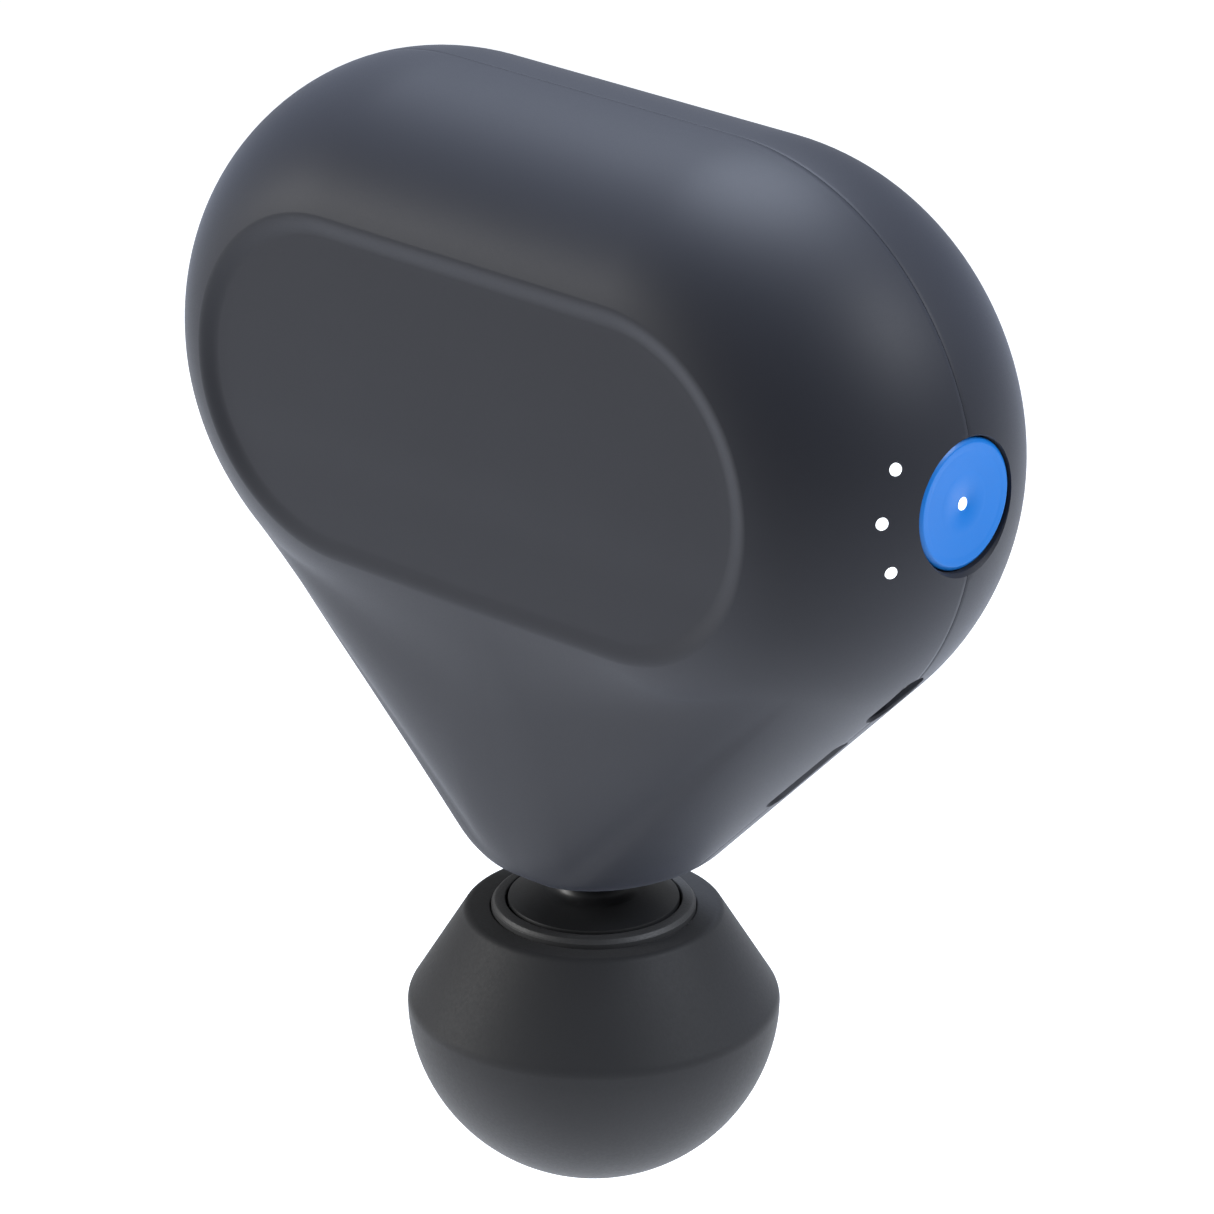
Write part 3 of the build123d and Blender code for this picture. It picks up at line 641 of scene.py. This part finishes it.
# --- tool shaft and foam ball tool ------------------------------------------
FOAM_TOP, FOAM_TOP_RADIUS = -51.0, 14.4
BALL_Z, BALL_RADIUS, SHOULDER_Z = -61.86, 21.07, -61.9
FOAM_SEAT, CORE_RADIUS, CORE_BOTTOM = -53.6, 8.6, -66
RING_TOP, RING_OUTER, RING_INNER = -50.0, 11.5, 9.9
DISC_Z, DISC_RADIUS, DISC_FOOT = -49.7, 9.65, -52.6
HUB_TOP, HUB_RADIUS, HUB_GAP = -47.7, 4.1, 0.12
FLARE_WIDTH, FLARE_HEIGHT = 1.6, 1.15
SLEEVE_RADIUS, SLEEVE_TOP = 5.3, -50.5
SHAFT_RADIUS, SHAFT_TIP = 3.4, -62.0
GROOVE_DEPTH, GROOVE_WIDTH = 0.6, 1.6
shoulder_radius = math.sqrt(BALL_RADIUS**2 - (BALL_Z - SHOULDER_Z) ** 2)
shoulder_turn = math.degrees(math.atan2(SHOULDER_Z - BALL_Z, shoulder_radius))

ball_profile = arc((0, BALL_Z), BALL_RADIUS, -90, shoulder_turn - 5, 60)
ball_profile[0] = (0, BALL_Z - BALL_RADIUS)
corner_at = len(ball_profile)
ball_profile += [(shoulder_radius, SHOULDER_Z), (FOAM_TOP_RADIUS, FOAM_TOP), (RING_OUTER + 0.1, FOAM_TOP),
                 (RING_OUTER + 0.1, FOAM_SEAT), (CORE_RADIUS, FOAM_SEAT), (CORE_RADIUS, CORE_BOTTOM),
                 (0, CORE_BOTTOM)]
ball_profile = rounded(ball_profile, {corner_at: 2.2, corner_at + 1: 1.1, corner_at + 2: 0.2}, 8)
ball = lathe("foam_ball", ball_profile, (0, 0, 0), (0, 0, 1), "ball_tool", 200,
             replaced=("foam_ball",), slot="foam")
finish_with(ball, "foam")

# The textured ring: a flat top, a bevel outside it and a small step above the foam
ring_profile = rounded(
    [(RING_INNER, FOAM_SEAT), (RING_OUTER, FOAM_SEAT), (RING_OUTER, RING_TOP - 0.55),
     (RING_OUTER - 0.12, RING_TOP - 0.45), (RING_OUTER - 0.35, RING_TOP - 0.1),
     (RING_OUTER - 0.6, RING_TOP), (RING_INNER + 0.12, RING_TOP), (RING_INNER, RING_TOP - 0.12),
     (RING_INNER, FOAM_SEAT)],
    {2: 0.05, 3: 0.1, 4: 0.15, 6: 0.08, 7: 0.05})
ring = lathe("insert_ring", ring_profile, (0, 0, 0), (0, 0, 1), "ball_tool", 200,
             replaced=("insert_ring",), slot="ring_plastic")
finish_with(ring, "ring_plastic")

# The insert: a shallow cone from its bevelled rim up to a small collar round the shaft
flare = [
    (HUB_RADIUS + FLARE_WIDTH * s, HUB_TOP - FLARE_HEIGHT * math.sqrt(s * (2 - s)))
    for s in np.linspace(0.02, 1, 14)
]
cone_profile = [(SHAFT_RADIUS + HUB_GAP, SLEEVE_TOP), (SHAFT_RADIUS + HUB_GAP, HUB_TOP - 0.3),
                (SHAFT_RADIUS + 0.3, HUB_TOP - 0.1), (HUB_RADIUS - 0.2, HUB_TOP)]
cone_profile += flare
cone_profile += [(DISC_RADIUS - 0.28, DISC_Z), (DISC_RADIUS - 0.06, DISC_Z - 0.08),
                 (DISC_RADIUS, DISC_Z - 0.3), (DISC_RADIUS, DISC_FOOT), (SLEEVE_RADIUS, DISC_FOOT),
                 (SLEEVE_RADIUS, SLEEVE_TOP), (SHAFT_RADIUS + HUB_GAP, SLEEVE_TOP)]
cone = lathe("insert_cone", cone_profile, (0, 0, 0), (0, 0, 1), "ball_tool", 160,
             replaced=("insert_cone",), slot="insert_plastic")
finish_with(cone, "insert_plastic")

groove = SHAFT_TIP + 4
shaft_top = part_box("output_shaft")[1].z / MM
groove_floor = SHAFT_RADIUS - GROOVE_DEPTH
shaft_profile = rounded(
    [(0, SHAFT_TIP), (SHAFT_RADIUS, SHAFT_TIP), (SHAFT_RADIUS, groove), (groove_floor, groove),
     (groove_floor, groove + GROOVE_WIDTH), (SHAFT_RADIUS, groove + GROOVE_WIDTH),
     (SHAFT_RADIUS, shaft_top), (0, shaft_top)],
    {1: 0.6, 2: 0.1, 5: 0.1, 6: 0.3})
shaft = lathe("output_shaft", shaft_profile, (0, 0, 0), (0, 0, 1), "tool_shaft", 128,
              replaced=("output_shaft",), slot="steel_polished")
finish_with(shaft, "steel_polished")

# --- floor, light and camera ------------------------------------------------
FLOOR_GAP, FLOOR_HALF = 0.3, 8
floor_z = cad_box[0][2] - FLOOR_GAP
floor_corners = [(-FLOOR_HALF, -FLOOR_HALF), (FLOOR_HALF, -FLOOR_HALF), (FLOOR_HALF, FLOOR_HALF),
                 (-FLOOR_HALF, FLOOR_HALF)]
floor = new_object("studio_floor", [(x, y, floor_z) for x, y in floor_corners], [(0, 1, 2, 3)], None)
floor_material = moulded(
    "studio_floor", (0.93, 0.93, 0.93), 0.9, grain=40, vary=0.005, bump=0.0, specular=0.1)
floor_shader = floor_material.node_tree.nodes["Principled BSDF"]
floor_shader.inputs["Emission Color"].default_value = (1, 1, 1, 1)
floor_shader.inputs["Emission Strength"].default_value = 0.48
floor.data.materials.append(floor_material)

world = bpy.data.worlds.new("studio")
bpy.context.scene.world = world
world.use_nodes = True
backdrop = world.node_tree.nodes["Background"]
backdrop.inputs["Color"].default_value = (0.95, 0.97, 1.0, 1)
backdrop.inputs["Strength"].default_value = 0.3


def softbox(name, place, size, power, colour=(1, 1, 1), aim=(0, 0, 0)):
    """A square area light at a place in metres, aimed at a point."""
    light = bpy.data.lights.new(name, "AREA")
    light.energy = power
    light.size = size
    light.color = colour
    obj = bpy.data.objects.new(name, light)
    obj.location = place
    obj.rotation_euler = (Vector(aim) - Vector(place)).to_track_quat("-Z", "Y").to_euler()
    bpy.context.scene.collection.objects.link(obj)


softbox("top_box", (-0.2, 0.25, 0.85), 0.6, 18, (0.76, 0.84, 1.0))
softbox("front_box", (-0.8, -0.7, 0.3), 0.45, 9, (1.0, 0.99, 0.97))
softbox("right_box", (0.8, 0.35, 0.75), 0.4, 12, (0.88, 0.92, 1.0))

# The camera looks at the object from its front right, a little above, through a long lens
AZIMUTH, ELEVATION = math.radians(43.22), math.radians(22.38)
DISTANCE, SIDE_SHIFT, DOWN_SHIFT = 0.6655, 0.00149, 0.01374
LENS, SENSOR = 180.76, 36
outwards = Vector((math.sin(AZIMUTH) * math.cos(ELEVATION), -math.cos(AZIMUTH) * math.cos(ELEVATION),
                   math.sin(ELEVATION)))
rightwards = Vector((math.cos(AZIMUTH), math.sin(AZIMUTH), 0))
upwards = outwards.cross(rightwards)
camera = bpy.data.cameras.new("camera")
camera.lens = LENS
camera.sensor_width = SENSOR
camera.clip_start = 0.01
camera_obj = bpy.data.objects.new("camera", camera)
camera_obj.location = outwards * DISTANCE + rightwards * SIDE_SHIFT - upwards * DOWN_SHIFT
camera_obj.rotation_euler = (-outwards).to_track_quat("-Z", "Y").to_euler()
bpy.context.scene.collection.objects.link(camera_obj)
bpy.context.scene.camera = camera_obj
bpy.context.scene.view_settings.view_transform = "Standard"
